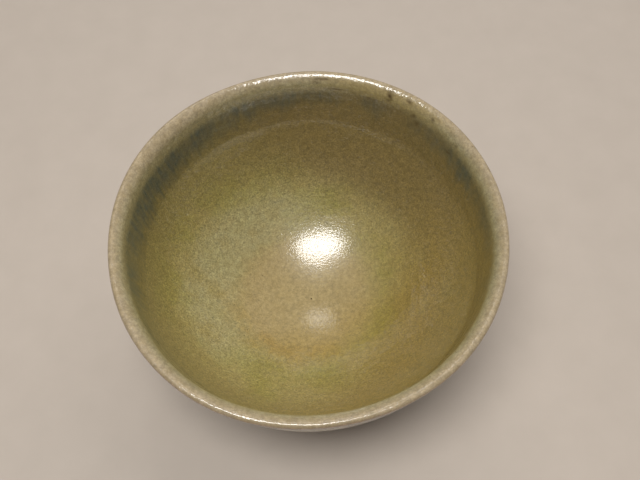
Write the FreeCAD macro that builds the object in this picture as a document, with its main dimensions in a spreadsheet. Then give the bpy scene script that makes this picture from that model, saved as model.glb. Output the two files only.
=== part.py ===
"""A hand-thrown stoneware tea bowl (chawan): clay wall and floor, foot ring, and the glaze coats over them.

Every piece is turned about the Z axis. The table is z = 0, and the bowl stands on the foot ring's flat tread.
The glaze is an even coat on the clay, so each glazed surface is the clay surface moved out along its normal:
arcs keep their centres and lines stay parallel. Sizes are in millimetres and degrees.
"""
import FreeCAD, Part

import os
import sys
from math import atan2, cos, hypot, radians, sin, sqrt

import Sketcher

DIMENSIONS = {
    # whole bowl, measured over the glaze
    "bowl_height": 70.0,
    "rim_radius": 62.5,
    "crest_radius": 1.3,
    # inside wall: it rises from the hip to the throat, where the lip starts to round over
    "throat_radius": 57.8,
    "throat_height": 66.2,
    "wall_draft": 9.5,
    "wall_length": 15.0,
    # inside floor: part of a sphere, with a shallow pool for the tea at its centre
    "well_radius": 60.0,
    "well_centre_height": 73.5,
    "pool_radius": 14.0,
    "pool_depth": 0.3,
    # outside: a short straight wall under the lip, then the belly's arc down to the foot
    "outer_lean": 12.0,
    "outer_length": 11.5,
    "belly_radius": 69.0,
    # glaze
    "glaze": 0.5,
    "pool_glaze": 1.2,
    "band_width": 9.5,
    "band_bulge": 0.4,
    "hem_height": 18.0,
    # foot ring, and the underside of the floor that shows inside it
    "foot_height": 10.5,
    "foot_joint_radius": 23.6,
    "foot_radius": 22.8,
    "foot_chamfer": 0.9,
    "recess_radius": 15.8,
    "recess_mouth_radius": 16.6,
    "recess_height": 7.5,
    "nipple_radius": 5.0,
    "nipple_height": 0.9,
}
# Sketcher's own numbers for a sketch's vertical axis and for the centre of an arc
V_AXIS = -2
CENTRE = 3


def make_sheet(doc):
    """The driving dimensions, one to a row, each with its name as its alias."""
    sheet = doc.addObject("Spreadsheet::Sheet", "Dims")
    for row, (name, value) in enumerate(DIMENSIONS.items(), start=1):
        sheet.set(f"A{row}", name)
        sheet.set(f"B{row}", str(value))
        sheet.setAlias(f"B{row}", name)
    doc.recompute()
    return sheet


class Size:
    """A length held both as an expression on the sheet and as its value, so that a sketch starts out solved."""

    def __init__(self, text, value):
        self.text, self.value = text, value

    def __add__(self, other):
        return Size(f"({self.text} + {other.text})", self.value + other.value)

    def __sub__(self, other):
        return Size(f"({self.text} - {other.text})", self.value - other.value)

    def __mul__(self, other):
        return Size(f"({self.text} * {other.text})", self.value * other.value)

    def __truediv__(self, other):
        return Size(f"({self.text} / {other.text})", self.value / other.value)


def dim(name):
    return Size(f"Dims.{name}", DIMENSIONS[name])


def number(value):
    return Size(str(value), value)


def sine(angle):
    return Size(f"sin({angle.text})", sin(radians(angle.value)))


def cosine(angle):
    return Size(f"cos({angle.text})", cos(radians(angle.value)))


def root(size):
    return Size(f"sqrt({size.text})", sqrt(size.value))


NO_COAT = number(0.0)


class Outline:
    """A closed sketch in the XZ plane, drawn edge after edge, with its sizes bound to the sheet."""

    def __init__(self, body, name):
        plane = next(f for f in body.Origin.OriginFeatures if f.Role == "XZ_Plane")
        self.sketch = body.newObject("Sketcher::SketchObject", name)
        self.sketch.AttachmentSupport = (plane, [""])
        self.sketch.MapMode = "FlatFace"

    def line(self, start, end):
        """A straight edge: its geometry's number, and the numbers of its first and last vertex."""
        made = Part.LineSegment(FreeCAD.Vector(*start, 0), FreeCAD.Vector(*end, 0))
        return self.sketch.addGeometry(made, False), 1, 2

    def arc(self, centre, radius, start, end, clockwise):
        """An arc about centre from the direction of start to the direction of end, with the same numbers."""
        first, last = (atan2(p[1] - centre[1], p[0] - centre[0]) for p in (start, end))
        if clockwise:
            first, last = last, first
        circle = Part.Circle(FreeCAD.Vector(*centre, 0), FreeCAD.Vector(0, 0, 1), radius)
        geometry = self.sketch.addGeometry(Part.ArcOfCircle(circle, first, last), False)
        entry, leave = (2, 1) if clockwise else (1, 2)
        return geometry, entry, leave

    def rule(self, *terms):
        return self.sketch.addConstraint(Sketcher.Constraint(*terms))

    def bind(self, size, kind, *terms):
        """A dimension of the sketch that follows the sheet."""
        index = self.rule(kind, *terms, size.value)
        self.sketch.setExpression(f"Constraints[{index}]", size.text)

    def place(self, edge, vertex, x, z):
        self.bind(x, "DistanceX", edge[0], vertex)
        self.level(edge, vertex, z)

    def level(self, edge, vertex, z):
        self.bind(z, "DistanceY", edge[0], vertex)

    def on_axis(self, edge, vertex):
        self.rule("PointOnObject", edge[0], vertex, V_AXIS)

    def smooth(self, before, after):
        self.rule("Tangent", before[0], before[2], after[0], after[1])

    def corner(self, before, after):
        self.rule("Coincident", before[0], before[2], after[0], after[1])

    def revolve(self, body):
        """Turns the outline once round the Z axis."""
        turned = body.newObject("PartDesign::Revolution", f"{self.sketch.Name}_turned")
        turned.Profile = self.sketch
        turned.ReferenceAxis = (self.sketch, ["V_Axis"])
        turned.Angle = 360
        self.sketch.Visibility = False
        return turned


def new_body(doc, name):
    body = doc.addObject("PartDesign::Body", name)
    body.Label = name
    return body


# ---- places that several outlines share -------------------------------------------------------------------


def on_wall(down, out):
    """The point a distance down the inside wall from the throat, and a depth out into the clay."""
    draft = dim("wall_draft")
    x = dim("throat_radius") - down * sine(draft) + out * cosine(draft)
    z = dim("throat_height") - down * cosine(draft) - out * sine(draft)
    return x, z


def at(point):
    return tuple(size.value for size in point)


def on_circle(centre, radius, height):
    """The outward point at this height on a circle."""
    return centre[0] + sqrt(radius ** 2 - (height - centre[1]) ** 2), height


def crest_centre():
    crest = dim("crest_radius")
    return dim("rim_radius") - crest, dim("bowl_height") - crest


def on_outside(down, inwards):
    """The point a distance down the outside wall from the lip, and a depth in from the glaze's surface."""
    lean, (crest_x, crest_z) = dim("outer_lean"), crest_centre()
    reach = dim("crest_radius") - inwards
    x = crest_x + reach * cosine(lean) - down * sine(lean)
    z = crest_z - reach * sine(lean) - down * cosine(lean)
    return x, z


def belly_centre():
    """The belly's arc runs on from the outside wall, so its centre lies square in from the wall's foot."""
    return on_outside(dim("outer_length"), dim("belly_radius") + dim("glaze"))


def hip_start(coat):
    """Solves the hip, the arc that joins the well to the wall: its centre, its radius and its two ends."""
    draft = radians(DIMENSIONS["wall_draft"])
    normal = (cos(draft), -sin(draft))
    well = (0.0, DIMENSIONS["well_centre_height"])
    well_radius = DIMENSIONS["well_radius"] + coat.value
    wall_foot = at(on_wall(dim("wall_length"), coat))
    gap = tuple(wall_foot[i] - well[i] for i in range(2))
    across = gap[0] * normal[0] + gap[1] * normal[1]
    radius = (well_radius ** 2 - hypot(*gap) ** 2) / (2 * (well_radius - across))
    centre = tuple(wall_foot[i] - radius * normal[i] for i in range(2))
    share = well_radius / (well_radius - radius)
    on_well = tuple(well[i] + (centre[i] - well[i]) * share for i in range(2))
    return centre, radius, on_well, wall_foot


def lip_start(coat):
    """Solves the lip: the centre and radius of the arc that joins the throat to the crest."""
    draft = radians(DIMENSIONS["wall_draft"])
    normal = (cos(draft), -sin(draft))
    throat, crest = at(on_wall(NO_COAT, coat)), at(crest_centre())
    crest_radius = DIMENSIONS["crest_radius"] - coat.value
    gap = tuple(throat[i] - crest[i] for i in range(2))
    along = gap[0] * normal[0] + gap[1] * normal[1]
    radius = (hypot(*gap) ** 2 - crest_radius ** 2) / (-2 * (along + crest_radius))
    centre = tuple(throat[i] + radius * normal[i] for i in range(2))
    share = radius / (radius - crest_radius)
    join = tuple(centre[i] + (crest[i] - centre[i]) * share for i in range(2))
    return centre, radius, throat, join


def well_height(radius, coat):
    """How high the well's sphere is at a distance from the axis."""
    sphere = dim("well_radius") + coat
    return dim("well_centre_height") - root(sphere * sphere - radius * radius)


def pool_edge(coat):
    """The pool's edge, where the well starts. Deeper in the clay it moves out along the sphere's radius."""
    x = dim("pool_radius") * (dim("well_radius") + coat) / dim("well_radius")
    return x, well_height(x, coat)


def pool_bottom(depth):
    """The lowest point of the pool, or of the clay a depth under it."""
    return dim("well_centre_height") - dim("well_radius") - dim("pool_depth") - depth


# ---- stretches of outline ---------------------------------------------------------------------------------


def draw_pool(out, coat, depth, outwards):
    """The pool's arc, level at the axis. It runs to its edge, or back from it."""
    edge, low = at(pool_edge(coat)), pool_bottom(depth).value
    rise = edge[1] - low
    radius = (edge[0] ** 2 + rise ** 2) / (2 * rise)
    bottom, ends = (0.0, low), [(0.0, low), edge]
    start, end = ends if outwards else ends[::-1]
    made = out.arc((0.0, bottom[1] + radius), radius, start, end, clockwise=not outwards)
    at_axis, at_edge = (made[1], made[2]) if outwards else (made[2], made[1])
    out.on_axis(made, CENTRE)
    out.on_axis(made, at_axis)
    out.level(made, at_axis, pool_bottom(depth))
    return made, at_edge


def draw_well(out, coat, outwards):
    """The well's sphere and the hip, from the pool's edge to the wall or back."""
    hip, hip_radius, meet, wall_foot = hip_start(coat)
    centre, edge = (0.0, DIMENSIONS["well_centre_height"]), at(pool_edge(coat))
    radius = DIMENSIONS["well_radius"] + coat.value
    if outwards:
        well = out.arc(centre, radius, edge, meet, clockwise=False)
        turn = out.arc(hip, hip_radius, meet, wall_foot, clockwise=False)
        out.smooth(well, turn)
        out.place(well, well[1], *pool_edge(coat))
    else:
        turn = out.arc(hip, hip_radius, wall_foot, meet, clockwise=True)
        well = out.arc(centre, radius, meet, edge, clockwise=True)
        out.smooth(turn, well)
        out.place(well, well[2], *pool_edge(coat))
    out.on_axis(well, CENTRE)
    out.level(well, CENTRE, dim("well_centre_height"))
    return well, turn


def draw_lip(out, coat, outwards):
    """The round lip: a wide arc from the throat, then a tight one over the crest."""
    centre, radius, throat, join = lip_start(coat)
    crest, crest_radius = at(crest_centre()), DIMENSIONS["crest_radius"] - coat.value
    outside = at(on_outside(NO_COAT, coat))
    if outwards:
        lip = out.arc(centre, radius, throat, join, clockwise=True)
        tip = out.arc(crest, crest_radius, join, outside, clockwise=True)
        out.smooth(lip, tip)
    else:
        tip = out.arc(crest, crest_radius, outside, join, clockwise=False)
        lip = out.arc(centre, radius, join, throat, clockwise=False)
        out.smooth(tip, lip)
    out.place(tip, CENTRE, *crest_centre())
    out.bind(dim("crest_radius") - coat, "Radius", tip[0])
    return lip, tip


# ---- the clay ---------------------------------------------------------------------------------------------


def make_thrown_body(doc):
    """The clay wall and floor, thrown in one piece and turned underneath to leave a boss for the foot ring."""
    body = new_body(doc, "thrown_body")
    out = Outline(body, "clay_outline")
    coat = dim("glaze")
    pool, pool_rim = draw_pool(out, coat, dim("pool_glaze"), outwards=True)
    well, hip = draw_well(out, coat, outwards=True)
    wall = out.line(hip_start(coat)[3], at(on_wall(NO_COAT, coat)))
    lip, tip = draw_lip(out, coat, outwards=True)

    top, bottom = at(on_outside(NO_COAT, coat)), at(on_outside(dim("outer_length"), coat))
    belly_end = on_circle(at(belly_centre()), DIMENSIONS["belly_radius"], DIMENSIONS["foot_height"])
    outer_wall = out.line(top, bottom)
    belly = out.arc(at(belly_centre()), DIMENSIONS["belly_radius"], bottom, belly_end, clockwise=True)

    recess, foot = DIMENSIONS["recess_radius"], DIMENSIONS["foot_height"]
    ceiling, nipple = DIMENSIONS["recess_height"], DIMENSIONS["nipple_radius"]
    tip_height = ceiling - DIMENSIONS["nipple_height"]
    shoulder = out.line(belly_end, (recess, foot))
    boss = out.line((recess, foot), (recess, ceiling))
    floor = out.line((recess, ceiling), (nipple, ceiling))
    cone = out.line((nipple, ceiling), (0.0, tip_height))
    axis = out.line((0.0, tip_height), (0.0, pool_bottom(dim("pool_glaze")).value))

    out.rule("Coincident", pool[0], pool_rim, well[0], well[1])
    for before, after in ((hip, wall), (wall, lip), (tip, outer_wall), (outer_wall, belly)):
        out.smooth(before, after)
    for before, after in ((belly, shoulder), (shoulder, boss), (boss, floor), (floor, cone), (cone, axis)):
        out.corner(before, after)
    out.rule("Coincident", axis[0], axis[2], pool[0], pool[1])
    out.place(wall, wall[1], *on_wall(dim("wall_length"), coat))
    out.place(wall, wall[2], *on_wall(NO_COAT, coat))
    out.place(belly, CENTRE, *belly_centre())
    out.bind(dim("belly_radius"), "Radius", belly[0])
    out.level(belly, belly[2], dim("foot_height"))
    out.place(boss, boss[1], dim("recess_radius"), dim("foot_height"))
    out.place(floor, floor[1], dim("recess_radius"), dim("recess_height"))
    out.place(cone, cone[1], dim("nipple_radius"), dim("recess_height"))
    out.on_axis(axis, axis[1])
    out.level(axis, axis[1], dim("recess_height") - dim("nipple_height"))
    out.revolve(body)
    return body


def make_foot_ring(doc):
    """The foot: a ring of clay luted on under the floor, with a flat tread and turned chamfers."""
    body = new_body(doc, "foot_ring")
    out = Outline(body, "foot_outline")
    chamfer = dim("foot_chamfer")
    tread_inner = dim("recess_mouth_radius") + chamfer
    tread_outer = dim("foot_radius") - chamfer
    corners = [
        (dim("recess_radius"), dim("foot_height")),
        (dim("foot_joint_radius"), dim("foot_height")),
        (dim("foot_radius"), chamfer),
        (tread_outer, NO_COAT),
        (tread_inner, NO_COAT),
        (dim("recess_mouth_radius"), chamfer),
        (dim("recess_radius"), dim("recess_height")),
    ]
    sides = [out.line(at(a), at(b)) for a, b in zip(corners, corners[1:] + corners[:1])]
    for before, after in zip(sides, sides[1:] + sides[:1]):
        out.corner(before, after)
    for side, corner in zip(sides, corners):
        out.place(side, side[1], *corner)
    out.revolve(body)
    return body


# ---- the glaze --------------------------------------------------------------------------------------------


def make_pool_glaze(doc):
    """The lens of thick glaze that gathered in the tea pool."""
    body = new_body(doc, "pool_glaze")
    out = Outline(body, "pool_outline")
    clay = dim("glaze")
    under, under_rim = draw_pool(out, clay, dim("pool_glaze"), outwards=True)
    cap = out.line(at(pool_edge(clay)), at(pool_edge(NO_COAT)))
    upper, upper_rim = draw_pool(out, NO_COAT, NO_COAT, outwards=False)
    axis = out.line((0.0, pool_bottom(NO_COAT).value), (0.0, pool_bottom(dim("pool_glaze")).value))
    for before, after in ((under, cap), (cap, upper), (upper, axis), (axis, under)):
        out.corner(before, after)
    out.place(cap, cap[1], *pool_edge(clay))
    out.place(cap, cap[2], *pool_edge(NO_COAT))
    out.revolve(body)
    return body


def make_inner_glaze(doc):
    """The coat on the well, the hip and the lower wall, up to the thick band."""
    body = new_body(doc, "inner_glaze")
    out = Outline(body, "inner_outline")
    clay, band = dim("glaze"), dim("band_width")
    clay_top, free_top = on_wall(band, clay), on_wall(band, NO_COAT)
    well, hip = draw_well(out, clay, outwards=True)
    wall = out.line(hip_start(clay)[3], at(clay_top))
    cap = out.line(at(clay_top), at(free_top))
    free_wall = out.line(at(free_top), hip_start(NO_COAT)[3])
    free_well, free_hip = draw_well(out, NO_COAT, outwards=False)
    edge = out.line(at(pool_edge(NO_COAT)), at(pool_edge(clay)))
    out.smooth(hip, wall)
    out.smooth(free_wall, free_hip)
    for before, after in ((wall, cap), (cap, free_wall), (free_well, edge), (edge, well)):
        out.corner(before, after)
    out.place(cap, cap[1], *clay_top)
    out.place(cap, cap[2], *free_top)
    out.place(wall, wall[1], *on_wall(dim("wall_length"), clay))
    out.place(free_wall, free_wall[2], *on_wall(dim("wall_length"), NO_COAT))
    out.revolve(body)
    return body


def make_band_glaze(doc):
    """The swollen band under the lip, where a second dip ran into the first and stopped."""
    body = new_body(doc, "band_glaze")
    out = Outline(body, "band_outline")
    clay, band = dim("glaze"), dim("band_width")
    low_clay, high_clay = on_wall(band, clay), on_wall(NO_COAT, clay)
    low_free, high_free = on_wall(band, NO_COAT), on_wall(NO_COAT, NO_COAT)
    half, bulge = DIMENSIONS["band_width"] / 2, DIMENSIONS["band_bulge"]
    radius = (half ** 2 + bulge ** 2) / (2 * bulge)
    middle = at(on_wall(number(half), number(radius - bulge)))
    back = out.line(at(low_clay), at(high_clay))
    top = out.line(at(high_clay), at(high_free))
    face = out.arc(middle, radius, at(high_free), at(low_free), clockwise=False)
    bottom = out.line(at(low_free), at(low_clay))
    for before, after in ((back, top), (top, face), (face, bottom), (bottom, back)):
        out.corner(before, after)
    for edge, point in ((back, low_clay), (top, high_clay), (face, high_free), (bottom, low_free)):
        out.place(edge, edge[1], *point)
    half_band, swell = band / number(2.0), dim("band_bulge")
    face_radius = (half_band * half_band + swell * swell) / (swell * number(2.0))
    out.bind(face_radius, "Radius", face[0])
    out.revolve(body)
    return body


def make_lip_glaze(doc):
    """The thin coat over the lip, from the throat to where the outside wall starts."""
    body = new_body(doc, "lip_glaze")
    out = Outline(body, "lip_outline")
    clay = dim("glaze")
    free_end, clay_end = on_outside(NO_COAT, NO_COAT), on_outside(NO_COAT, clay)
    throat = out.line(at(on_wall(NO_COAT, clay)), at(on_wall(NO_COAT, NO_COAT)))
    lip, tip = draw_lip(out, NO_COAT, outwards=True)
    cap = out.line(at(free_end), at(clay_end))
    clay_lip, clay_tip = draw_lip(out, clay, outwards=False)
    for before, after in ((throat, lip), (tip, cap), (cap, clay_tip), (clay_lip, throat)):
        out.corner(before, after)
    out.place(throat, throat[1], *on_wall(NO_COAT, clay))
    out.place(throat, throat[2], *on_wall(NO_COAT, NO_COAT))
    out.level(cap, cap[1], free_end[1])
    out.level(cap, cap[2], clay_end[1])
    # the wide arcs leave the throat along the wall, so both their centres lie straight out from it
    for arc in (lip, clay_lip):
        out.rule("PointOnObject", arc[0], CENTRE, throat[0])
    out.revolve(body)
    return body


def make_outer_glaze(doc):
    """The coat on the outside wall and belly. It stops short of the foot in a rolled hem."""
    body = new_body(doc, "outer_glaze")
    out = Outline(body, "outer_outline")
    clay, length = dim("glaze"), dim("outer_length")
    clay_radius, free_radius = dim("belly_radius"), dim("belly_radius") + clay
    centre_x, centre_z = belly_centre()
    free_hem_height = centre_z + (dim("hem_height") - centre_z) * free_radius / clay_radius
    clay_hem = on_circle((centre_x.value, centre_z.value), clay_radius.value, DIMENSIONS["hem_height"])
    free_hem = on_circle((centre_x.value, centre_z.value), free_radius.value, free_hem_height.value)
    middle = tuple((clay_hem[i] + free_hem[i]) / 2 for i in range(2))

    free_wall = out.line(at(on_outside(NO_COAT, NO_COAT)), at(on_outside(length, NO_COAT)))
    free_belly = out.arc(at(belly_centre()), free_radius.value, at(on_outside(length, NO_COAT)), free_hem, True)
    roll = out.arc(middle, clay.value / 2, free_hem, clay_hem, clockwise=True)
    clay_belly = out.arc(at(belly_centre()), clay_radius.value, clay_hem, at(on_outside(length, clay)), False)
    clay_wall = out.line(at(on_outside(length, clay)), at(on_outside(NO_COAT, clay)))
    cap = out.line(at(on_outside(NO_COAT, clay)), at(on_outside(NO_COAT, NO_COAT)))
    for before, after in ((free_wall, free_belly), (free_belly, roll), (clay_belly, clay_wall)):
        out.smooth(before, after)
    for before, after in ((roll, clay_belly), (clay_wall, cap), (cap, free_wall)):
        out.corner(before, after)
    for belly, radius in ((free_belly, free_radius), (clay_belly, clay_radius)):
        out.place(belly, CENTRE, *belly_centre())
        out.bind(radius, "Radius", belly[0])
    out.level(clay_belly, clay_belly[1], dim("hem_height"))
    out.level(free_belly, free_belly[2], free_hem_height)
    out.place(cap, cap[1], *on_outside(NO_COAT, clay))
    out.place(cap, cap[2], *on_outside(NO_COAT, NO_COAT))
    out.revolve(body)
    return body


# ---- build, check, write ----------------------------------------------------------------------------------


def check(doc, bodies):
    """Stops if any object failed to build, any sketch is loose, or any piece isn't one sound solid."""
    for thing in doc.Objects:
        if {"Invalid", "Error"} & set(thing.State):
            sys.exit(f"{thing.Name} failed to build: {thing.State}")
        if thing.TypeId == "Sketcher::SketchObject" and (thing.solve() != 0 or not thing.FullyConstrained):
            sys.exit(f"{thing.Name} isn't fully constrained")
    for body in bodies:
        shape = body.Shape
        if shape.isNull() or not shape.isValid() or len(shape.Solids) != 1:
            sys.exit(f"{body.Label} isn't one valid solid")
        box = shape.BoundBox
        print(f"{body.Label}: {shape.Volume / 1000:.3f} cm3, z {box.ZMin:.3f} to {box.ZMax:.3f}")


def main():
    doc = FreeCAD.newDocument("tea_bowl")
    make_sheet(doc)
    makers = (make_thrown_body, make_foot_ring, make_pool_glaze, make_inner_glaze,
              make_band_glaze, make_lip_glaze, make_outer_glaze)
    bodies = [make(doc) for make in makers]
    doc.recompute()
    check(doc, bodies)
    os.makedirs("parts", exist_ok=True)
    for body in bodies:
        body.Shape.exportStep(f"parts/{body.Label}.step")


main()
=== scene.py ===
"""The looks of a hand-thrown tea bowl: its glaze coats and clay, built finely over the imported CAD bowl."""

import random
from math import atan2, cos, hypot, pi, radians, sin, sqrt, tau

import bpy
import numpy as np
from mathutils import Matrix, Vector


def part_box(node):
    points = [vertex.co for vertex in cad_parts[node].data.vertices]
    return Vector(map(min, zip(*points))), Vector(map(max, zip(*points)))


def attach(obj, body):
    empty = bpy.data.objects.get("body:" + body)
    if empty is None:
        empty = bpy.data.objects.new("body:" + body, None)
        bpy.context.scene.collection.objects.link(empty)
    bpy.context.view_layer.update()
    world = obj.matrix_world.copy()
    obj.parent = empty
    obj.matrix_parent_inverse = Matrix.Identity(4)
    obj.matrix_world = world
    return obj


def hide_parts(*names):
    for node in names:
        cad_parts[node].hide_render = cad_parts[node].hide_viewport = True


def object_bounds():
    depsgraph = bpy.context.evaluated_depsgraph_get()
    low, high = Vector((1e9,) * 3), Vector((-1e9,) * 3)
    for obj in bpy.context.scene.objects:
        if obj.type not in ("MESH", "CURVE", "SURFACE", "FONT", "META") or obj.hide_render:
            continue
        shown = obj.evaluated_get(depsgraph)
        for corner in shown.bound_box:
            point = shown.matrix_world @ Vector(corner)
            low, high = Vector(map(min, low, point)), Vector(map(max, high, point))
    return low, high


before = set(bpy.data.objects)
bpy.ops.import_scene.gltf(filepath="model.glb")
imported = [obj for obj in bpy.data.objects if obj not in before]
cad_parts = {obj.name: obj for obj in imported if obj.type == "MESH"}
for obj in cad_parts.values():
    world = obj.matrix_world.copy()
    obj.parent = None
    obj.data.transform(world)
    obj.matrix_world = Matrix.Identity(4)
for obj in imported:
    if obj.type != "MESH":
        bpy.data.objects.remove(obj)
CAD_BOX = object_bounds()

MM = 0.001


# ---- the bowl's sizes, in millimetres ------------------------------------------------------------


def low(node):
    """The height of a CAD node's underside."""
    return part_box(node)[0][2] / MM


def high(node):
    """The height of a CAD node's top."""
    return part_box(node)[1][2] / MM


RIM_RADIUS = CAD_BOX[1][0] / MM
BOWL_HEIGHT = CAD_BOX[1][2] / MM
THROAT = Vector((57.8, high("band_glaze")))
BAND_FOOT_HEIGHT = high("inner_glaze")
HEM_HEIGHT = low("outer_glaze")
FOOT_HEIGHT = high("foot_ring")
FOOT_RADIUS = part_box("foot_ring")[1][0] / MM
POOL_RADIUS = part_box("pool_glaze")[1][0] / MM

WALL_DRAFT = radians(9.5)
WALL_LENGTH = 15.0
WELL_RADIUS = 60.0
WELL_CENTRE = Vector((0.0, 73.5))
POOL_DEPTH = 0.3
CREST_RADIUS = 1.3
OUTER_LEAN = radians(12.0)
OUTER_LENGTH = 11.5
BELLY_RADIUS = 69.5
RECESS_RADIUS = 15.8
RECESS_HEIGHT = 7.5
NIPPLE_HEIGHT = 0.9
# A coat is GLAZE thick. The clay is drawn CLAY_DEPTH below the outline of the glaze's surface, and the hidden
# back of a coat is TUCK deeper still.
GLAZE = 0.5
CLAY_DEPTH = 0.65
TUCK = 0.08

# How many points go round a ring, and how far apart the rings are.
COLUMNS = 720
FINE = 0.5
FINEST = 0.25
COARSE = 3.0
OUTLINE_STEP = 0.05


# ---- the outline of the glaze's surface, from the middle of the well over the lip to the foot ----


def side_on(angle):
    """A unit vector at this angle above level, in the plane of the outline."""
    return Vector((cos(angle), sin(angle)))


def tangent_radius(start, square, centre, radius, side):
    """The radius of the arc that leaves start square to a direction and ends touching a circle inside."""
    gap = start - centre
    return (radius ** 2 - gap.length_squared) / (2 * (radius + side * square.dot(gap)))


def arc(centre, radius, start, end):
    """Points along an arc between two angles."""
    steps = max(2, round(abs(end - start) * radius / OUTLINE_STEP))
    angles = np.linspace(start, end, steps)
    return np.stack([centre[0] + radius * np.cos(angles), centre[1] + radius * np.sin(angles)], axis=1)


def line(start, end):
    """Points along a straight line."""
    steps = max(2, round((end - start).length / OUTLINE_STEP))
    share = np.linspace(0, 1, steps)[:, None]
    return np.array(start) * (1 - share) + np.array(end) * share


def bearing(point, centre):
    """The angle above level at which a point is seen from a centre."""
    return atan2(point[1] - centre[1], point[0] - centre[0])


class Outline:
    """A smooth run of arcs and lines, read by the distance along it."""

    def __init__(self, runs):
        points = np.concatenate([runs[0]] + [run[1:] for run in runs[1:]])
        steps = np.hypot(*np.diff(points, axis=0).T)
        self.points = points
        self.along = np.concatenate([[0], np.cumsum(steps)])
        heading = np.gradient(points, self.along, axis=0)
        heading /= np.hypot(*heading.T)[:, None]
        self.normals = np.stack([-heading[:, 1], heading[:, 0]], axis=1)

    def at(self, along):
        """The points and normals at these distances."""
        def read(table):
            return np.interp(along, self.along, table)
        return (read(self.points[:, 0]), read(self.points[:, 1]),
                read(self.normals[:, 0]), read(self.normals[:, 1]))

    def find(self, column, value, first=0.0):
        """The first distance past first where a coordinate reaches a value."""
        track = self.points[:, column] - value
        turns = np.nonzero((track[:-1] * track[1:] <= 0) & (self.along[1:] > first))[0]
        return self.along[turns[0]]


def bowl_outline():
    """The glaze's free surface, as in the CAD, except that the pool is left to the relief."""
    wall_out = side_on(-WALL_DRAFT)
    wall_up = side_on(pi / 2 - WALL_DRAFT)
    wall_foot = THROAT - wall_up * WALL_LENGTH
    hip_radius = tangent_radius(wall_foot, wall_out, WELL_CENTRE, WELL_RADIUS, -1)
    hip_centre = wall_foot - wall_out * hip_radius
    hip_angle = bearing(hip_centre, WELL_CENTRE)

    crest = Vector((RIM_RADIUS - CREST_RADIUS, BOWL_HEIGHT - CREST_RADIUS))
    lip_radius = tangent_radius(THROAT, wall_out, crest, CREST_RADIUS, 1)
    lip_centre = THROAT + wall_out * lip_radius
    lip_angle = bearing(crest, lip_centre)

    outer_out = side_on(-OUTER_LEAN)
    outer_top = crest + outer_out * CREST_RADIUS
    outer_foot = outer_top - side_on(pi / 2 - OUTER_LEAN) * OUTER_LENGTH
    belly_centre = outer_foot - outer_out * BELLY_RADIUS
    belly_end = -pi / 2 + 0.3
    return Outline([
        arc(WELL_CENTRE, WELL_RADIUS, -pi / 2, hip_angle),
        arc(hip_centre, hip_radius, hip_angle, -WALL_DRAFT),
        line(wall_foot, THROAT),
        arc(lip_centre, lip_radius, pi - WALL_DRAFT, lip_angle),
        arc(crest, CREST_RADIUS, lip_angle, -OUTER_LEAN),
        line(outer_top, outer_foot),
        arc(belly_centre, BELLY_RADIUS, -OUTER_LEAN, belly_end),
    ])


OUTLINE = bowl_outline()
POOL_EDGE = OUTLINE.find(0, POOL_RADIUS)
BAND_FOOT = OUTLINE.find(1, BAND_FOOT_HEIGHT)
THROAT_AT = OUTLINE.find(1, THROAT[1])
LIP_TOP = OUTLINE.find(0, RIM_RADIUS - CREST_RADIUS, THROAT_AT)
LIP_END = OUTLINE.find(1, high("outer_glaze"), LIP_TOP)
HEM = OUTLINE.find(1, HEM_HEIGHT, LIP_END)
FOOT_JOINT = OUTLINE.find(1, FOOT_HEIGHT - GLAZE, LIP_END)


# ---- relief: how the surface departs from the outline, in millimetres ----------------------------


def ripples(turn, along, seed, lobes, pitch, count=24):
    """A sum of random waves that close round the bowl, about 1 high.

    lobes is the fewest and most of them round the bowl, and pitch the shortest and longest down the wall.
    """
    dice = random.Random(seed)
    total = np.zeros(np.broadcast(turn, along).shape)
    for _ in range(count):
        around = dice.randint(*lobes)
        climb = tau / dice.uniform(*pitch) * dice.choice((-1, 1))
        total += np.cos(around * turn + climb * along + dice.uniform(0, tau))
    return total * sqrt(2 / count)


def ease(value, start, end):
    """Goes smoothly from 0 at start to 1 at end."""
    share = np.clip((value - start) / (end - start), 0, 1)
    return share * share * (3 - 2 * share)


def hump(value, centre, width):
    """Rises from 0 to 1 at centre and falls again."""
    return np.exp(-((value - centre) / width) ** 2)


def round_hump(turn, centre, width):
    """A hump in the angle round the bowl. Angles are in degrees, anticlockwise from +X."""
    apart = (np.degrees(turn) - centre + 180) % 360 - 180
    return np.exp(-(apart / width) ** 2)


def round_humps(turn, humps):
    """A sum of humps in the angle round the bowl. Each has a height, and a centre and width in degrees."""
    return sum(height * round_hump(turn, centre, width) for height, centre, width in humps)


# Where the second dip ran further, where it is thick, and where the lip's pale coat ran down over it.
BAND_REACH = ((7.5, 172, 34), (4.0, 125, 28), (3.5, 24, 30))
BAND_STRENGTH = ((1.0, 164, 54), (0.5, 96, 28), (0.62, 19, 34))
LIP_RUN = ((1.0, 90, 70), (2.2, 140, 26))
USUAL_REACH = 7.0
SHORTEST_REACH = 3.0
THINNEST_BAND = 0.02


def band_reach(turn):
    """How far below the throat the second dip ran, round the bowl."""
    reach = USUAL_REACH + round_humps(turn, BAND_REACH)
    reach += 0.7 * ripples(turn, 0.0, 5, (3, 14), (50, 90))
    reach += 0.7 * ripples(turn, 0.0, 6, (20, 70), (50, 90))
    return np.maximum(reach, SHORTEST_REACH)


def band_strength(turn):
    """How thick the second dip is, from 0 to 1: it thins almost to nothing at the front."""
    strength = round_humps(turn, BAND_STRENGTH) + 0.12 * ripples(turn, 0.0, 7, (4, 30), (50, 90))
    return np.clip(strength, THINNEST_BAND, 1.0)


def past_throat(turn, along):
    """How far past the throat this is. The lip's pale coat ran down at the back, so it counts more there."""
    over = along - THROAT_AT
    return over + round_humps(turn, LIP_RUN) * (1 - ease(over, 0, 7))


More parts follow.
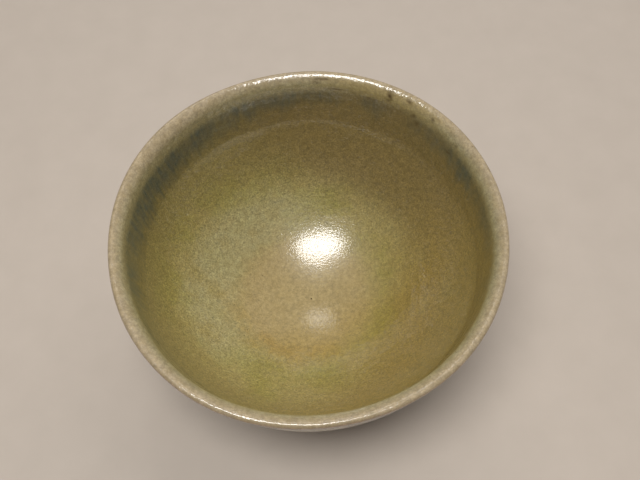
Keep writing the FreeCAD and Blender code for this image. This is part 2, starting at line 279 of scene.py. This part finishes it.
def band_cover(turn, along):
    """How much of the second dip lies here, from 0 to 1."""
    down = -past_throat(turn, along)
    narrow = ripples(turn, along, 8, (60, 190), (25, 60))
    broad = ripples(turn, along, 9, (20, 60), (20, 50))
    tail = band_reach(turn) * (1 + 0.12 * (0.6 * narrow + 0.4 * broad))
    return ease(down, -2.6, 2.4) * (1 - ease(down, 0.45 * tail, 1.2 * tail)) * band_strength(turn)


# Where iron bled through. Each mark has an angle round the bowl in degrees, a distance past the throat in
# millimetres, a width in degrees and a length in millimetres.
IRON_MARKS = (
    (58, 1.8, 1.1, 2.6), (51, 3.2, 1.1, 0.8), (84, 1.9, 0.9, 0.7), (48, -0.8, 1.2, 1.3),
    (46, -3.2, 1.0, 1.5), (77, -0.4, 3.6, 0.5), (64, -1.6, 3.0, 0.6), (29, 1.2, 0.7, 0.6),
    (31, -4.2, 1.4, 0.7), (82, 3.2, 2.6, 0.5), (41, 2.4, 0.6, 0.6), (207, -5.2, 0.9, 0.5),
    (203, -4.0, 3.6, 0.3),
)


def iron_bleed(turn, along):
    """How strongly iron shows through the glaze near the lip."""
    over = along - THROAT_AT
    ragged = 0.8 + 0.2 * ripples(turn, along, 14, (60, 220), (1.5, 4), 16)
    bleed = 0.3 * round_hump(turn, 60, 13) * hump(over, -2.5, 2.8) * ragged
    for angle, level, width, length in IRON_MARKS:
        mark = 0.95 * round_hump(turn, angle, width) * hump(over, level, length) * ragged
        bleed = np.maximum(bleed, mark)
    return np.clip(bleed, 0, 1)


# How far the glaze usually stops above its lowest point, and how many runs reach down from there.
HEM_RISE = 5.0
HEM_RUNS = 9


def hem_at(turn):
    """Where the outer coat ends, round the bowl: an uneven line with a few runs below it."""
    edge = HEM - HEM_RISE + 1.3 * ripples(turn, 0.0, 11, (1, 5), (50, 90), 8)
    edge += 0.35 * ripples(turn, 0.0, 12, (8, 40), (50, 90))
    dice = random.Random(13)
    for _ in range(HEM_RUNS):
        edge += dice.uniform(1.0, 4.2) * round_hump(turn, dice.uniform(0, 360), dice.uniform(2.4, 5.0))
    return np.minimum(edge, HEM)


# The features of the surface: throwing lines inside, slow lumps, a score in the left wall, the swollen band,
# a fine skin, throwing ridges outside, and the bead along the hem. The outer coat is a little thinner.
SWIRL_HEIGHT = 0.018
SWIRL_PITCH = 4.6
LUMP_HEIGHT = 0.06
SCORE_DEPTH = 0.10
SCORE_WIDTH = 0.55
SCORE_DROP = 16.9
SCORE_SLANT = 3.6
BAND_SWELL = 0.3
SKIN_HEIGHT = 0.003
RIDGE_HEIGHT = 0.13
RIDGE_PITCH = 5.2
BEAD_HEIGHT = 0.55
BEAD_WIDTH = 1.5
BEAD_RISE = 1.3
OUTER_SETTLE = 0.1


def throwing(turn, along, seed, pitch):
    """The spiral that the potter's fingers leave, uneven in height and spacing."""
    drift = 0.9 * ripples(turn, along, seed, (0, 3), (25, 60), 10)
    strength = 0.65 + 0.35 * ripples(turn, along, seed + 1, (0, 4), (12, 40), 10)
    return strength * np.cos(tau * along / pitch + turn + drift)


def pool_dip(radius):
    """How far the surface sinks below the outline in the tea pool."""
    return POOL_DEPTH * (1 - ease(radius, 0.0, 1.2 * POOL_RADIUS))


def relief(turn, along):
    """The free surface's height above the outline."""
    inside = 1 - ease(along, LIP_END - 4, LIP_END + 2)
    outside = 1 - inside
    radius = OUTLINE.at(along)[0]
    dip = -pool_dip(radius) * inside
    swirl = SWIRL_HEIGHT * throwing(turn, along, 21, SWIRL_PITCH) * ease(radius, 26, 44) * inside
    swirl = swirl * (1 - ease(along, THROAT_AT - 3, THROAT_AT + 1))
    lump = LUMP_HEIGHT * ripples(turn, along, 23, (2, 9), (14, 40), 12) * ease(radius, 22, 44)
    groove = THROAT_AT - SCORE_DROP - SCORE_SLANT * ease(turn, 2.95, 3.4)
    score = -SCORE_DEPTH * hump(along, groove, SCORE_WIDTH) * round_hump(turn, 182, 26) * inside
    coat = BAND_SWELL * band_cover(turn, along) * inside
    skin = SKIN_HEIGHT * ripples(turn, along, 24, (30, 160), (2.5, 8), 30) * ease(radius, 24, 44)
    ridges = RIDGE_HEIGHT * throwing(turn, along, 25, RIDGE_PITCH) * ease(along, LIP_END + 1, LIP_END + 8)
    bead = BEAD_HEIGHT * hump(hem_at(turn) - along, BEAD_RISE, BEAD_WIDTH) * outside
    settle = -OUTER_SETTLE * outside
    return dip + swirl + lump + score + skin + coat + (ridges + bead) * outside + settle


def clay_relief(turn, along):
    """The bare clay's height above its own outline: turning lines, drag marks and grog."""
    lines = 0.06 * np.cos(tau * along / 1.9 + 1.3 * ripples(turn, along, 31, (0, 2), (10, 30), 8))
    coarse = 0.05 * ripples(turn, along, 32, (3, 20), (4, 14))
    grain = 0.016 * ripples(turn, along, 33, (60, 240), (1.2, 4), 40)
    return lines + coarse + grain


def warp(x, y, z):
    """The gentle unevenness of a thrown bowl. It grows towards the rim and stays inside the CAD's box."""
    turn = np.arctan2(y, x)
    wave = 0.26 * np.cos(4 * turn + 2.6) + 0.10 * np.cos(3 * turn - 1.0) + 0.08 * np.cos(2 * turn + 0.7)
    swell = 1 + (wave - 0.12) / RIM_RADIUS * (z / BOWL_HEIGHT) ** 2
    sway = 0.18 * np.cos(2 * turn - 0.5) + 0.08 * np.cos(5 * turn) - 0.38
    return x * swell, y * swell, z + sway * np.clip(z / BOWL_HEIGHT, 0, 1) ** 4


# ---- meshes --------------------------------------------------------------------------------------

# The clay is drawn finely from BARE_MARGIN above the hem. Clay marked UNDER_HEM is too low to be flashed.
TURN = np.linspace(0, tau, COLUMNS, endpoint=False)
BARE_MARGIN = 14.0
UNDER_HEM = 30.0


def place(turn, radius, height):
    """Turns outline coordinates in millimetres into warped points in metres."""
    x, y, z = warp(radius * np.cos(turn), radius * np.sin(turn), height)
    return np.stack([x, y, z], axis=-1) * MM


def glaze_points(turn, along):
    """The free surface of the glaze, with its relief."""
    radius, height, out, up = OUTLINE.at(along)
    rise = relief(turn, along)
    return place(turn, radius + out * rise, height + up * rise)


def under_glaze(turn, along, depth):
    """A smooth surface this far below the glaze's outline, with the pool's dip in it."""
    radius, height, out, up = OUTLINE.at(along)
    depth = depth + pool_dip(radius) * (along < LIP_TOP)
    return place(turn, np.maximum(radius - out * depth, 0), height - up * depth)


def clay_points(turn, along):
    """The clay's surface, one coat below the glaze's outline, with its own relief where it is bare."""
    bare = ease(along, hem_at(turn) - 0.5, hem_at(turn) + 1.0)
    return under_glaze(turn, along, CLAY_DEPTH - bare * clay_relief(turn, along))


def back_points(turn, along):
    """The back of a glaze coat, tucked just under the clay's surface."""
    return under_glaze(turn, along, CLAY_DEPTH + TUCK)


def sweep(points_at, start, end, spacing):
    """Rows of points between two distances, which may differ round the bowl, with normals and distances."""
    count = max(1, int(np.ceil(np.max(np.abs(end - start)) / spacing)))
    share = np.arange(-1, count + 2)[:, None] / count
    along = start + (end - start) * share + np.zeros(COLUMNS)
    points = points_at(TURN + np.zeros_like(along), along)
    across = np.roll(points, -1, axis=1) - np.roll(points, 1, axis=1)
    onward = points[2:] - points[:-2]
    normals = np.cross(across[1:-1], onward)
    normals /= np.maximum(np.linalg.norm(normals, axis=-1, keepdims=True), 1e-15)
    return points[1:-1], normals, along[1:-1]


class Shell:
    """Gathers rings of points into one closed mesh, with named marks for its material at each point."""

    def __init__(self, *mark_names):
        self.mark_names = mark_names
        self.rings, self.marks = [], []

    def ring(self, points, normals=None, *marks):
        """Adds a ring. Its normals are given where the surface shows, and come from its faces elsewhere."""
        marks = marks or [0.0] * len(self.mark_names)
        self.rings.append((points, normals))
        self.marks.append([np.zeros(len(points)) + mark for mark in marks])

    def point(self, height, *marks):
        """Closes an end on the bowl's axis."""
        self.ring(np.array([[0.0, 0.0, height * MM]]), None, *marks)

    def rows(self, points, normals, *marks):
        """Adds one ring for each row of points."""
        for ring in zip(points, normals, *marks):
            self.ring(*ring)

    def build(self, name, material, looped=False):
        """Joins each ring to the next, and the last to the first in a looped shell, faces outwards."""
        starts = np.cumsum([0] + [len(points) for points, _ in self.rings])
        order = list(range(len(self.rings))) + ([0] if looped else [])
        faces, shown = [], []
        for this, other in zip(order, order[1:]):
            here, there = starts[this], starts[other]
            here_count, there_count = len(self.rings[this][0]), len(self.rings[other][0])
            column = np.arange(max(here_count, there_count))
            following = (column + 1) % len(column)
            if here_count == 1:
                corners = [here + 0 * column, there + following, there + column]
            elif there_count == 1:
                corners = [here + column, here + following, there + 0 * column]
            else:
                corners = [here + column, here + following, there + following, there + column]
            rows = np.stack(corners, axis=1)
            faces += rows.tolist()
            shown += [self.rings[this][1] is not None and self.rings[other][1] is not None] * len(rows)
        mesh = bpy.data.meshes.new(name)
        mesh.from_pydata(np.concatenate([points for points, _ in self.rings]), [], faces)
        mesh.update()
        mesh.polygons.foreach_set("use_smooth", [True] * len(mesh.polygons))
        self.set_normals(mesh, np.array(shown))
        for mark_name, marks in zip(self.mark_names, zip(*self.marks)):
            values = mesh.attributes.new(mark_name, "FLOAT", "POINT")
            values.data.foreach_set("value", np.concatenate(marks).astype(np.float32))
        mesh.materials.append(material)
        piece = bpy.data.objects.new(name, mesh)
        bpy.context.scene.collection.objects.link(piece)
        return piece

    def set_normals(self, mesh, shown):
        """Gives the faces that show their rings' normals, so that neighbouring coats meet unseen."""
        given = [np.zeros(points.shape) if normals is None else normals for points, normals in self.rings]
        given = np.concatenate(given)
        corner_vertex = np.zeros(len(mesh.loops), dtype=np.int32)
        mesh.loops.foreach_get("vertex_index", corner_vertex)
        sides = np.zeros(len(mesh.polygons), dtype=np.int32)
        mesh.polygons.foreach_get("loop_total", sides)
        face_normals = np.zeros(len(mesh.polygons) * 3, dtype=np.float32)
        mesh.polygons.foreach_get("normal", face_normals)
        corner_shown = np.repeat(shown, sides)[:, None]
        corner_face = np.repeat(face_normals.reshape(-1, 3), sides, axis=0)
        mesh.normals_split_custom_set(np.where(corner_shown, given[corner_vertex], corner_face).tolist())


def glaze_coat(name, start, end, material, spacing=FINE, from_axis=False):
    """A closed coat between two distances along the outline: its free surface, and its back on the clay."""
    shell = Shell("second_dip", "over_throat", "iron")
    points, normals, along = sweep(glaze_points, start, end, spacing)
    turn = TURN + np.zeros_like(along)
    inner = along < LIP_END + 0.1
    marks = [band_cover(turn, along) * inner, past_throat(turn, along), iron_bleed(turn, along) * inner]
    back = sweep(back_points, start, end, COARSE)[0][::-1]
    if from_axis:
        shell.ring(points[0][:1], np.array([[0.0, 0.0, 1.0]]), 0.0, -THROAT_AT, 0.0)
        points, normals, marks = points[1:], normals[1:], [mark[1:] for mark in marks]
        back, last = back[:-1], back[-1][:1]
    shell.rows(points, normals, *marks)
    shell.rows(back, [None] * len(back))
    if from_axis:
        shell.ring(last)
    return shell.build(name, material, looped=not from_axis)


def clay_body(material):
    """The clay in one closed solid: well, lip, outside, the shoulder at the foot, the recess's ceiling."""
    shell = Shell("below_hem")
    hidden_end = HEM - BARE_MARGIN
    hidden = sweep(clay_points, 0.0, hidden_end, COARSE)[0]
    shell.ring(hidden[0][:1])
    shell.rows(hidden[1:-1], [None] * len(hidden))
    points, normals, along = sweep(clay_points, hidden_end, FOOT_JOINT, FINE)
    shell.rows(points, normals, along - hem_at(TURN))
    wall = RECESS_RADIUS + 0.5
    under_the_foot = (wall + 2.5, FOOT_HEIGHT - 1.0)
    recess_top = (wall, FOOT_HEIGHT - 1.5)
    ceiling_edge = (wall, RECESS_HEIGHT + 0.5)
    for radius, height in (under_the_foot, recess_top, ceiling_edge):
        shell.ring(place(TURN, np.full(COLUMNS, radius), np.full(COLUMNS, height)), None, UNDER_HEM)
    for radius in np.arange(wall, 0.3, -FINE):
        swirl = 0.12 * np.cos(tau * radius / 3.1 + TURN) * ease(radius, 1, 6)
        nipple = NIPPLE_HEIGHT * (1 - ease(radius, 0.5, 6.0))
        height = RECESS_HEIGHT - nipple + swirl + 0.7 * ease(radius, RECESS_RADIUS - 5, wall) ** 2
        shell.ring(place(TURN, np.full(COLUMNS, radius), height), None, UNDER_HEM)
    shell.point(RECESS_HEIGHT - NIPPLE_HEIGHT, UNDER_HEM)
    return shell.build("clay_body", material)


# ---- materials -----------------------------------------------------------------------------------


def linear(red, green, blue):
    """A colour as seen on a screen, each part from 0 to 255, as the light it stands for."""
    parts = [part / 255 for part in (red, green, blue)]
    return [part / 12.92 if part < 0.04045 else ((part + 0.055) / 1.055) ** 2.4 for part in parts] + [1.0]


# Runs in the glaze are as wide as they are asked to be at RUN_RADIUS.
RUN_RADIUS = 45.0
COAT_ROUGHNESS = 0.07


class Paint:
    """A node material, put together from the surface's place in millimetres."""

    def __init__(self, name):
        self.material = bpy.data.materials.new(name)
        self.material.use_nodes = True
        self.tree = self.material.node_tree
        self.shader = self.tree.nodes["Principled BSDF"]
        place_in_frame = self.tree.nodes.new("ShaderNodeTexCoord").outputs["Object"]
        self.spot = self.scale(place_in_frame, 1 / MM)
        parts = self.node("ShaderNodeSeparateXYZ", self.spot)
        self.x, self.y, self.z = parts.outputs
        self.radius = self.math("SQRT", self.math("ADD", self.math("MULTIPLY", self.x, self.x),
                                                  self.math("MULTIPLY", self.y, self.y)))

    def node(self, kind, *values, **settings):
        """Adds a node, sets its options, and feeds its inputs in order with sockets or plain values."""
        made = self.tree.nodes.new(kind)
        for key, value in settings.items():
            setattr(made, key, value)
        for socket, value in zip(made.inputs, values):
            self.feed(socket, value)
        return made

    def feed(self, socket, value):
        """Links an input to another node's output, or gives it a plain value. None leaves it alone."""
        if isinstance(value, bpy.types.NodeSocket):
            self.tree.links.new(value, socket)
        elif value is not None:
            socket.default_value = value

    def math(self, operation, *values):
        return self.node("ShaderNodeMath", *values, operation=operation).outputs[0]

    def vector(self, operation, *values):
        return self.node("ShaderNodeVectorMath", *values, operation=operation).outputs[0]

    def scale(self, vector, amount):
        """Multiplies a vector or a colour by a number."""
        made = self.node("ShaderNodeVectorMath", vector, operation="SCALE")
        self.feed(made.inputs["Scale"], amount)
        return made.outputs[0]

    def both(self, *shares):
        """Multiplies shares together: high only where all of them are."""
        product = shares[0]
        for share in shares[1:]:
            product = self.math("MULTIPLY", product, share)
        return product

    def toward(self, angle):
        """How many millimetres out this is in a direction, in degrees anticlockwise from +X."""
        along_x = self.math("MULTIPLY", self.x, cos(radians(angle)))
        return self.math("MULTIPLY_ADD", self.y, sin(radians(angle)), along_x)

    def ease(self, value, start, end, bottom=0.0, top=1.0):
        """Goes smoothly from bottom to top while a value goes from start to end."""
        made = self.node("ShaderNodeMapRange", value, start, end, bottom, top,
                         interpolation_type="SMOOTHSTEP")
        return made.outputs[0]

    def sector(self, angle, near, far):
        """Goes from 0 to 1 between two distances out in a direction."""
        return self.ease(self.toward(angle), near, far)

    def noise(self, size, detail=3.0, rough=0.55, spot=None):
        """Cloudy noise from 0 to 1, its features about size millimetres across."""
        made = self.tree.nodes.new("ShaderNodeTexNoise")
        self.feed(made.inputs["Vector"], self.spot if spot is None else spot)
        for key, value in (("Scale", 1 / size), ("Detail", detail), ("Roughness", rough)):
            made.inputs[key].default_value = value
        return made.outputs[0]

    def runs(self, width, length):
        """Noise drawn out down the slope: it runs from the lip to the middle of the well."""
        flat = self.vector("MULTIPLY", self.spot, (1, 1, 0))
        round_the_bowl = self.vector("NORMALIZE", flat)
        spread = self.scale(round_the_bowl, RUN_RADIUS / width)
        slope = self.math("DIVIDE", self.math("SUBTRACT", self.z, self.radius), length)
        lift = self.node("ShaderNodeCombineXYZ", 0.0, 0.0, slope).outputs[0]
        return self.noise(1.0, rough=0.5, spot=self.vector("ADD", spread, lift))

    def cells(self, size, feature="F1"):
        """How far this is from the middle of a random cell, or from its edge, in sizes of a cell."""
        made = self.tree.nodes.new("ShaderNodeTexVoronoi")
        made.feature = feature
        self.feed(made.inputs["Vector"], self.spot)
        made.inputs["Scale"].default_value = 1 / size
        return made.outputs["Distance"]

    def mark(self, name):
        """A mark that the mesh carries at each point."""
        return self.node("ShaderNodeAttribute", attribute_name=name).outputs["Fac"]

    def mix(self, share, first, second, blend="MIX"):
        """Goes from one colour to another as a share goes from 0 to 1."""
        made = self.tree.nodes.new("ShaderNodeMix")
        made.data_type = "RGBA"
        made.blend_type = blend
        self.feed(made.inputs[0], share)
        self.feed(made.inputs[6], first)
        self.feed(made.inputs[7], second)
        return made.outputs[2]

    def lay(self, colour, other, share, strength=1.0):
        """Lays another colour over a colour, by a share from 0 to 1."""
        return self.mix(self.math("MULTIPLY", share, strength), colour, other)

    def bump(self, height, depth, normal=None):
        """A bump whose height of 1 stands for depth millimetres."""
        made = self.tree.nodes.new("ShaderNodeBump")
        made.inputs["Distance"].default_value = depth * MM
        self.feed(made.inputs["Height"], height)
        self.feed(made.inputs["Normal"], normal)
        return made.outputs[0]

    def finish(self, colour, roughness, normal, ior=1.5, coat=0.0):
        """Feeds the shader, with a clear coat over it where the surface is glassy."""
        self.feed(self.shader.inputs["Base Color"], colour)
        self.feed(self.shader.inputs["Roughness"], roughness)
        self.feed(self.shader.inputs["Normal"], normal)
        self.shader.inputs["IOR"].default_value = ior
        self.shader.inputs["Coat Weight"].default_value = coat
        self.shader.inputs["Coat Roughness"].default_value = COAT_ROUGHNESS
        return self.material


WELL_TAN = linear(161, 143, 99)
SLOPE_OLIVE = linear(149, 136, 84)
MOSS = linear(140, 131, 70)
WALL_OLIVE = linear(131, 118, 70)
GOLDEN = linear(135, 114, 60)
CELADON = linear(162, 154, 114)
OCHRE = linear(160, 128, 66)
# A darker brown: random clouds in the outer coat, and painted shade on the far wall inside.
BROWN_AND_PAINTED_SHADE = linear(116, 98, 61)
BAND_GREY = linear(62, 76, 75)
LIP_INNER = linear(154, 145, 111)
LIP_OUTER = linear(162, 146, 119)
LIP_EDGE = linear(146, 108, 82)
LIP_YELLOW = linear(154, 134, 80)
IRON = linear(74, 56, 26)
WARMTH = [0.95, 0.91, 0.74, 1.0]
CLAY = linear(168, 132, 100)
CLAY_DARK = linear(140, 104, 76)
CLAY_SAND = linear(196, 166, 134)
CLAY_FLASH = linear(150, 82, 40)
CLAY_GROG = linear(92, 62, 44)
FLOOR_PALE = linear(184, 173, 162)
FLOOR_DIM = linear(175, 164, 153)


def glazed(paint, colour):
    """Gives a coat its skin: an orange peel, waves up the slope and pinholes, glassy over a cloudy body."""
    peel = paint.noise(0.7, 2.0)
    waves = paint.math("MULTIPLY", paint.noise(2.8, 2.0), paint.ease(paint.radius, 22, 44, 0.06, 1.0))
    holes = paint.ease(paint.cells(2.6), 0.05, 0.16)
    normal = paint.bump(waves, 0.22)
    normal = paint.bump(peel, 0.05, normal)
    normal = paint.bump(holes, 0.02, normal)
    cloudy = paint.ease(paint.noise(1.2, 2.0), 0.2, 0.8, 0.27, 0.36)
    paint.feed(paint.shader.inputs["Coat Normal"], normal)
    return paint.finish(colour, cloudy, normal, coat=0.8)


def glaze_grain(paint, colour):
    """Breaks a glaze colour up as the melt does: mottling, grain, a faint crackle and iron specks.

    The grain is faint in the well, strong on the wall and softer again on the lip.
    """
    mottle = paint.noise(1.5, 3.0, 0.7)
    grains = paint.noise(0.55, 2.0, 0.7)
    shade = paint.ease(mottle, 0.25, 0.75, 0.80, 1.20)
    strength = paint.ease(paint.radius, 10, 46, 0.3, 2.0)
    strength = paint.both(strength, paint.ease(paint.radius, 55, 59, 1.0, 0.4))
    grains = paint.both(paint.math("SUBTRACT", grains, 0.5), strength)
    shade = paint.both(shade, paint.math("ADD", grains, 1.0))
    crackle = paint.ease(paint.cells(1.3, "DISTANCE_TO_EDGE"), 0.0, 0.10, 0.88, 1.0)
    colour = paint.scale(colour, paint.both(shade, crackle))
    colour = paint.lay(colour, GOLDEN, paint.ease(paint.noise(2.4, 3.0, 0.7), 0.35, 0.65), 0.22)
    return paint.lay(colour, IRON, paint.ease(paint.cells(5.0), 0.055, 0.03), 0.6)


def inside_glaze():
    """The ash glaze inside: tan in the well, olive on the slope, grey in the second dip, pale on the lip,
    with painted shade on the far wall.
    """
    paint = Paint("inside_ash_glaze")
    clouds = paint.noise(15, 3.0)
    patches = paint.noise(6, 3.0)
    streaks = paint.runs(1.3, 9.0)

    centre_shift = paint.math("MULTIPLY", paint.x, 0.12)
    wander = paint.math("MULTIPLY_ADD", patches, 8.0, -4.0)
    ring = paint.math("ADD", paint.radius, paint.math("ADD", centre_shift, wander))
    slope = paint.mix(paint.ease(clouds, 0.36, 0.62), SLOPE_OLIVE, MOSS)
    colour = paint.mix(paint.ease(ring, 18, 32), WELL_TAN, slope)
    colour = paint.mix(paint.ease(ring, 38, 50), colour, WALL_OLIVE)

    gold = paint.both(paint.sector(-30, 8, 38), paint.ease(ring, 26, 38), paint.ease(clouds, 0.2, 0.45))
    colour = paint.lay(colour, GOLDEN, gold, 0.75)
    # Painted shade: the far wall at the upper right turns brown where the rim's shadow falls.
    shade = paint.both(paint.sector(62, 20, 52), paint.ease(ring, 34, 48))
    colour = paint.lay(colour, BROWN_AND_PAINTED_SHADE, shade, 0.75)
    cloud = paint.both(paint.sector(155, 0, 26), paint.ease(ring, 20, 28), paint.ease(ring, 43, 34))
    cloud = paint.both(cloud, paint.ease(clouds, 0.26, 0.48))
    colour = paint.lay(colour, CELADON, cloud, 0.7)
    ochre = paint.both(paint.sector(240, 6, 20), paint.ease(ring, 18, 23), paint.ease(ring, 32, 25))
    ochre = paint.both(ochre, paint.ease(patches, 0.42, 0.6))
    colour = paint.lay(colour, OCHRE, ochre, 0.3)
    warm = paint.both(paint.sector(-72, 4, 16), paint.sector(-110, 30, 20), paint.ease(ring, 54, 46))
    colour = paint.mix(warm, colour, WARMTH, "MULTIPLY")

    past = paint.mark("over_throat")
    pooled = paint.both(paint.sector(258, 20, 50), paint.ease(past, -20, -11))
    colour = paint.lay(colour, CELADON, pooled, 0.45)
    second = paint.both(paint.mark("second_dip"), paint.ease(streaks, 0.3, 0.7, 0.6, 1.15))
    colour = paint.mix(second, colour, BAND_GREY)

    over = paint.math("ADD", past, paint.math("MULTIPLY_ADD", patches, 0.8, -0.4))
    colour = paint.lay(colour, LIP_INNER, paint.ease(over, -2.6, 2.6))
    colour = paint.lay(colour, LIP_OUTER, paint.ease(over, 1.2, 5.6))
    yellow = paint.both(paint.sector(60, 51, 60), paint.ease(over, 6.0, 3.5), paint.ease(over, -1.0, 1.0))
    colour = paint.lay(colour, LIP_YELLOW, yellow, 0.6)
    colour = paint.lay(colour, LIP_EDGE, paint.ease(over, 6.3, 8.0), 0.85)

    colour = glaze_grain(paint, colour)
    colour = paint.mix(paint.mark("iron"), colour, IRON)
    return glazed(paint, colour)


def outside_glaze():
    """The outer coat: olive with runs, paler at the lip and where it is thin on the throwing ridges."""
    paint = Paint("outside_ash_glaze")
    clouds = paint.noise(18, 3.0)
    streaks = paint.runs(2.4, 26.0)
    colour = paint.mix(paint.ease(clouds, 0.35, 0.65), SLOPE_OLIVE, BROWN_AND_PAINTED_SHADE)
    colour = paint.lay(colour, CELADON, paint.ease(streaks, 0.45, 0.75), 0.8)
    over = paint.math("ADD", paint.mark("over_throat"), paint.math("MULTIPLY_ADD", clouds, 4.0, -2.0))
    colour = paint.lay(colour, LIP_EDGE, paint.ease(over, 12.0, 8.0), 0.85)
    colour = glaze_grain(paint, colour)
    return glazed(paint, colour)


def bare_clay():
    """Unglazed stoneware: sandy, speckled with grog and iron, and flashed orange beside the glaze."""
    paint = Paint("bare_clay")
    clouds = paint.noise(9, 4.0)
    sand = paint.noise(0.5, 3.0, 0.7)
    colour = paint.mix(clouds, CLAY, CLAY_DARK)
    colour = paint.lay(colour, CLAY_SAND, paint.ease(sand, 0.35, 0.65), 0.5)
    colour = paint.lay(colour, CLAY_FLASH, paint.ease(paint.mark("below_hem"), 3.2, 0.0), 0.75)
    grog = paint.ease(paint.cells(1.7), 0.24, 0.12)
    colour = paint.lay(colour, CLAY_GROG, grog, 0.6)
    normal = paint.bump(sand, 0.10)
    normal = paint.bump(grog, -0.08, normal)
    return paint.finish(colour, paint.ease(sand, 0.2, 0.8, 0.72, 0.9), normal, ior=1.45)


# ---- the pieces ----------------------------------------------------------------------------------


def foot_ring(material):
    """The foot ring: turned clay with softened edges, chipped a little on the tread."""
    shell = Shell("below_hem")
    recess_side = [(RECESS_RADIUS - 0.1, FOOT_HEIGHT - 2.2), (RECESS_RADIUS + 0.8, 1.2)]
    tread = [(RECESS_RADIUS + 1.1, 0.5), (RECESS_RADIUS + 1.8, 0.08), (FOOT_RADIUS - 2.2, 0.05),
             (FOOT_RADIUS - 1.4, 0.4)]
    outer_side = [(FOOT_RADIUS - 1.0, 1.1), (FOOT_RADIUS - 0.3, FOOT_HEIGHT - 1.8),
                  (FOOT_RADIUS, FOOT_HEIGHT - 0.2)]
    joint = [(FOOT_RADIUS - 1.2, FOOT_HEIGHT + 0.4), (RECESS_RADIUS + 1.2, FOOT_HEIGHT + 0.4)]
    corners = recess_side + tread + outer_side + joint
    for (radius, height), (next_radius, next_height) in zip(corners, corners[1:] + corners[:1]):
        steps = max(1, round(hypot(next_radius - radius, next_height - height) / FINE))
        for share in np.arange(steps) / steps:
            around = radius + (next_radius - radius) * share
            level = height + (next_height - height) * share
            rough = 0.05 * ripples(TURN, level + around, 41, (3, 40), (2, 8))
            lifted = np.maximum(level + 0.4 * np.abs(rough), 0.0)
            shell.ring(place(TURN, around + rough, lifted), None, UNDER_HEM)
    return shell.build("turned_foot", material, looped=True)


def stand_for(piece, node):
    """Puts a piece on the bowl's one body, in place of a CAD node."""
    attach(piece, "root")
    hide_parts(node)


def make_pieces():
    inside, outside, clay = inside_glaze(), outside_glaze(), bare_clay()
    pool = glaze_coat("tea_pool_glaze", 0.0, POOL_EDGE, inside, from_axis=True)
    stand_for(pool, "pool_glaze")
    well = glaze_coat("inside_glaze", POOL_EDGE, BAND_FOOT, inside)
    stand_for(well, "inner_glaze")
    band = glaze_coat("second_dip_glaze", BAND_FOOT, THROAT_AT, inside, FINEST)
    stand_for(band, "band_glaze")
    lip = glaze_coat("lip_glaze_coat", THROAT_AT, LIP_END, inside, FINEST)
    stand_for(lip, "lip_glaze")
    outer = glaze_coat("outside_glaze", LIP_END, hem_at(TURN), outside)
    stand_for(outer, "outer_glaze")
    stand_for(clay_body(clay), "thrown_body")
    stand_for(foot_ring(clay), "foot_ring")


# ---- floor, light, camera ------------------------------------------------------------------------

CAMERA_RISE = radians(61.97)
CAMERA_DISTANCE = 0.2482
CAMERA_ROLL = radians(3.62)
CAMERA_SHIFT = (0.0206, -0.0186)
RIM_PLANE = 69.3 * MM
WELL_PLANE = 20 * MM
WARM_WHITE = (1.0, 0.98, 0.95)


def make_floor():
    """A pale floor that the bowl stands on. It isn't part of the bowl."""
    paint = Paint("pale_floor")
    grain = paint.noise(14, 5.0)
    colour = paint.mix(grain, FLOOR_PALE, FLOOR_DIM)
    paint.finish(colour, 0.55, paint.bump(paint.noise(2, 3.0), 0.02))
    half = 3.0
    mesh = bpy.data.meshes.new("floor")
    corners = [(-half, -half, 0), (half, -half, 0), (half, half, 0), (-half, half, 0)]
    mesh.from_pydata(corners, [], [(0, 1, 2, 3)])
    mesh.materials.append(paint.material)
    floor = bpy.data.objects.new("floor", mesh)
    bpy.context.scene.collection.objects.link(floor)


def aim(thing, place_at, target, top, roll=0.0):
    """Puts a camera or light somewhere and points it at a target, its top edge towards the direction top."""
    forward = (target - place_at).normalized()
    right = forward.cross(Vector(top)).normalized()
    up = right.cross(forward)
    right, up = right * cos(roll) - up * sin(roll), right * sin(roll) + up * cos(roll)
    turned = Matrix((right, up, -forward)).transposed().to_4x4()
    thing.matrix_world = Matrix.Translation(place_at) @ turned


def make_camera():
    data = bpy.data.cameras.new("camera")
    data.lens, data.sensor_width = 45.0, 36.0
    data.shift_x, data.shift_y = CAMERA_SHIFT
    data.clip_start = 0.01
    camera = bpy.data.objects.new("camera", data)
    bpy.context.scene.collection.objects.link(camera)
    target = Vector((0, 0, RIM_PLANE))
    away = Vector((0, -cos(CAMERA_RISE), sin(CAMERA_RISE))) * CAMERA_DISTANCE
    aim(camera, target + away, target, (0, 0, 1), CAMERA_ROLL)
    bpy.context.scene.camera = camera


def softbox(name, direction, distance, width, depth, power, tint, mirrored=True):
    """A soft oval lamp that faces the well. One that isn't mirrored makes no highlight on the glaze."""
    data = bpy.data.lights.new(name, "AREA")
    data.shape, data.size, data.size_y = "ELLIPSE", width, depth
    data.energy, data.color = power, tint
    lamp = bpy.data.objects.new(name, data)
    lamp.visible_glossy = mirrored
    bpy.context.scene.collection.objects.link(lamp)
    target = Vector((0, 0, WELL_PLANE))
    aim(lamp, target + Vector(direction).normalized() * distance, target, (0, 1, 0))


def make_light():
    """Two lamps that show in the glaze, a wide one that only fills the shadows in, and a dim room."""
    softbox("top_light", (-0.132, -0.189, 0.973), 0.9, 0.48, 0.26, 6.5, WARM_WHITE)
    softbox("back_light", (-0.065, 0.644, 0.762), 1.3, 0.36, 0.28, 1.0, WARM_WHITE)
    softbox("wide_light", (0.40, 0.60, 0.69), 1.7, 2.4, 1.6, 17.0, (1.0, 0.98, 0.96), mirrored=False)
    world = bpy.data.worlds.new("studio")
    world.use_nodes = True
    background = world.node_tree.nodes["Background"]
    background.inputs["Color"].default_value = (*WARM_WHITE, 1)
    background.inputs["Strength"].default_value = 0.12
    bpy.context.scene.world = world
    bpy.context.scene.view_settings.view_transform = "Standard"


make_camera()
make_pieces()
make_floor()
make_light()
